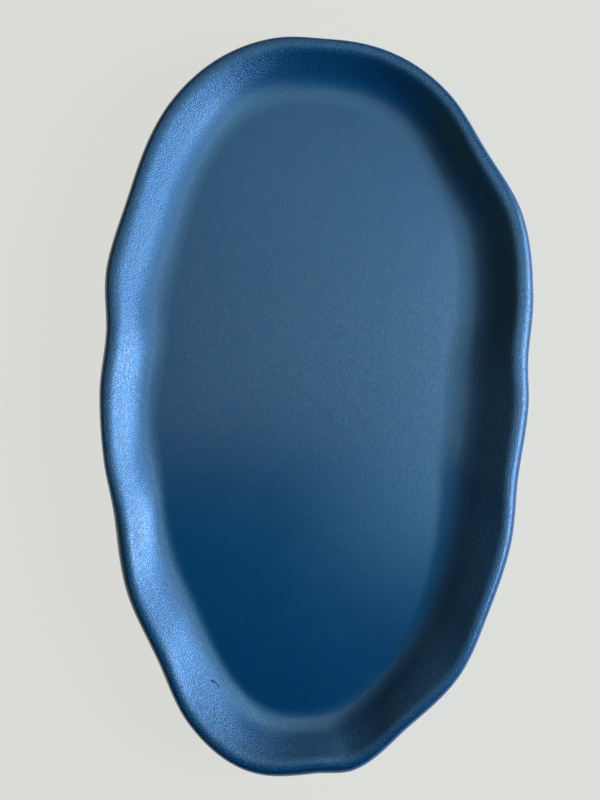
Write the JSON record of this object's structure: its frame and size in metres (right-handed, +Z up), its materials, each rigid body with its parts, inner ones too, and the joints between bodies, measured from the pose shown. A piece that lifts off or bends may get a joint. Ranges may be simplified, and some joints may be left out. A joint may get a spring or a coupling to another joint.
{
  "type": "decorative tray",
  "caption": "Wavy oval wooden tray with a flat floor, a coved wall and a rounded lip, carved from an edge-glued blank, painted satin navy and set on round rubber bumper feet.",
  "frame": {"origin": "on the table, under the middle of the tray's bounding box", "axes": "+Z up out of the well, +Y along the tray's length towards its back end (the top of the picture), +X across its width to the right"},
  "size_m": [0.2352, 0.3996, 0.0235],
  "materials": {
    "navy_paint": "satin spray paint over close-grained timber, grain along the length just showing through",
    "foot_rubber": "matte moulded rubber"
  },
  "bodies": {
    "root": {"board_1": "navy_paint", "board_2": "navy_paint", "board_3": "navy_paint", "board_4": "navy_paint", "board_5": "navy_paint", "board_6": "navy_paint", "foot_back_right": "foot_rubber", "foot_back_left": "foot_rubber", "foot_front_left": "foot_rubber", "foot_front_right": "foot_rubber"}
  },
  "joints": []
}
